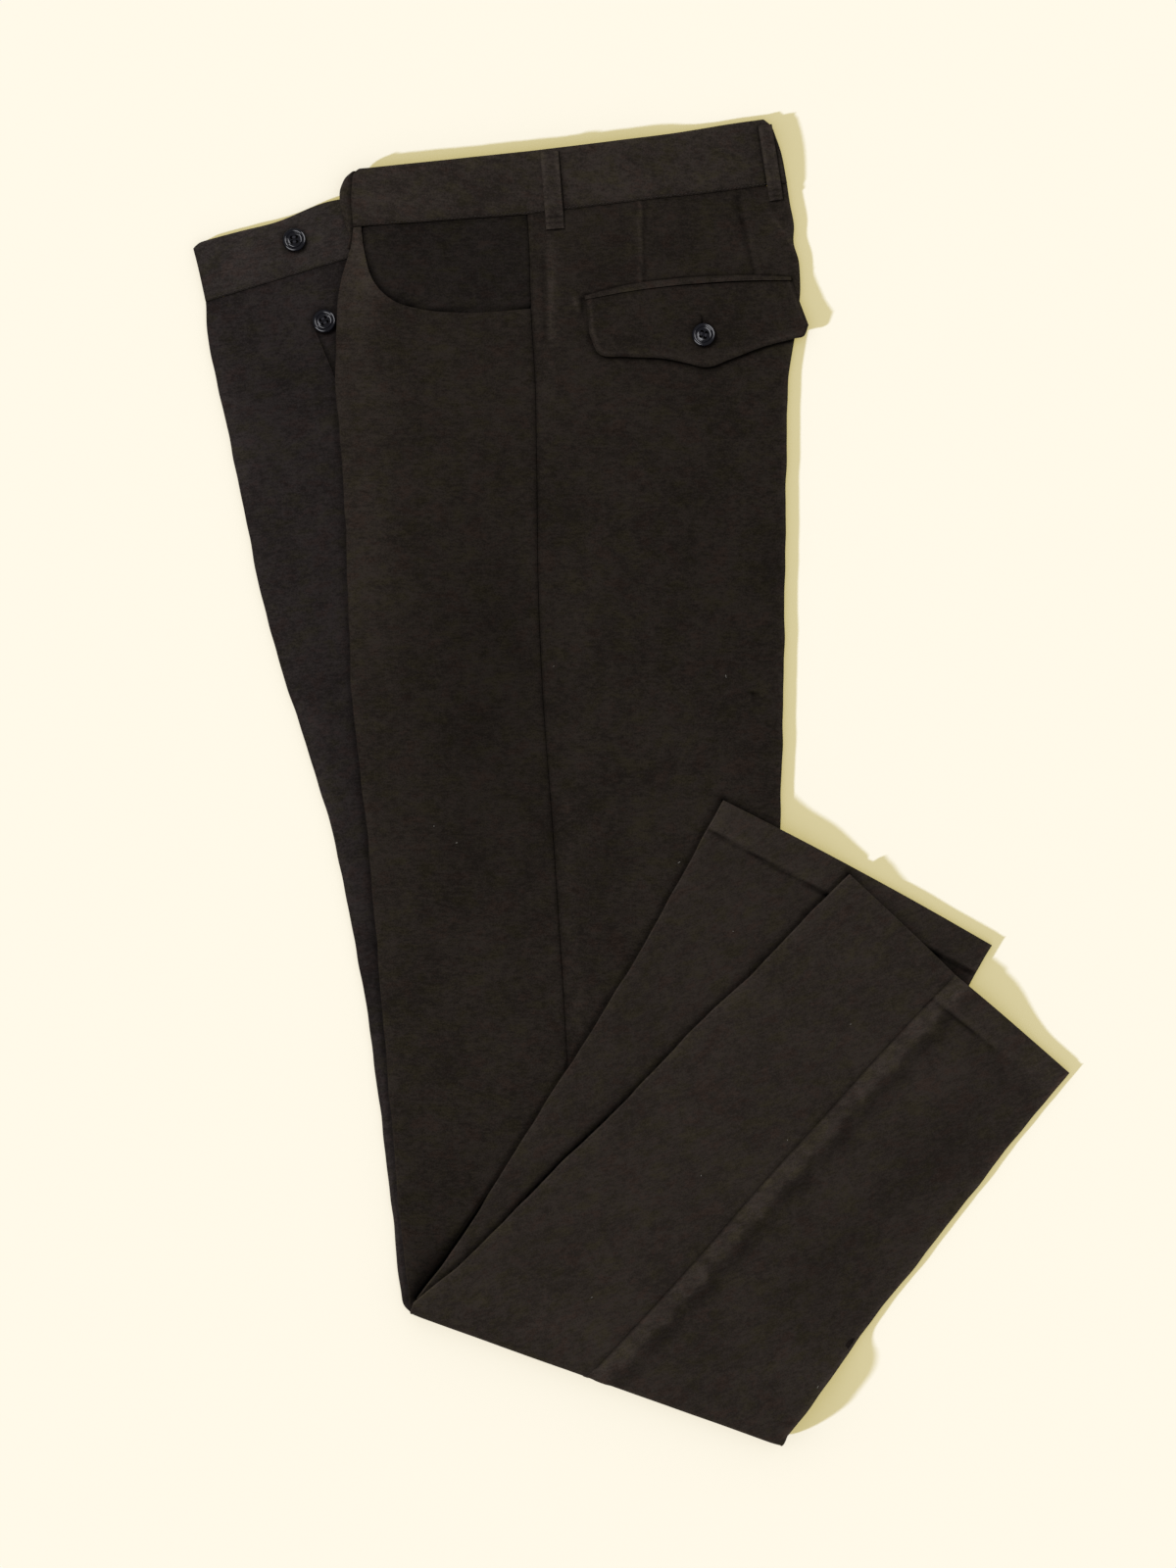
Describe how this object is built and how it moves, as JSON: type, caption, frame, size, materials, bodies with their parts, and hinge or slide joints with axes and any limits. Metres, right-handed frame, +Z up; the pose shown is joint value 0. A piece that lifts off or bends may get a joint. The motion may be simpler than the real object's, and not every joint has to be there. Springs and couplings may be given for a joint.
{
  "type": "folded moleskin trousers",
  "caption": "Long moleskin trousers folded flat, with curved front pockets, a flapped back pocket, belt loops and a buttoned fly, legs folded up at the knee.",
  "frame": {"origin": "centre of the garment's outline on the surface it lies on", "axes": "+Z up from that surface, +Y from the knee fold to the waist, +X from the fly side to the hems"},
  "size_m": [0.556, 0.8364, 0.0168],
  "materials": {
    "moleskin": "brushed, dark olive brown, matt with a soft nap",
    "button": "polished near black"
  },
  "bodies": {
    "root": {"folded_layers": "moleskin", "right_front": "moleskin", "fly_underlap": "moleskin", "right_waistband": "moleskin", "left_waistband": "moleskin", "left_pocket_facing": "moleskin", "left_front": "moleskin", "left_back": "moleskin", "left_lower_front": "moleskin", "left_lower_back": "moleskin", "right_lower_front": "moleskin", "right_lower_back": "moleskin", "belt_loop_front": "moleskin", "belt_loop_side": "moleskin", "belt_loop_back": "moleskin", "back_pocket_welt": "moleskin", "back_pocket_flap": "moleskin", "waistband_button": "button", "fly_button": "button", "flap_button": "button"}
  },
  "joints": []
}
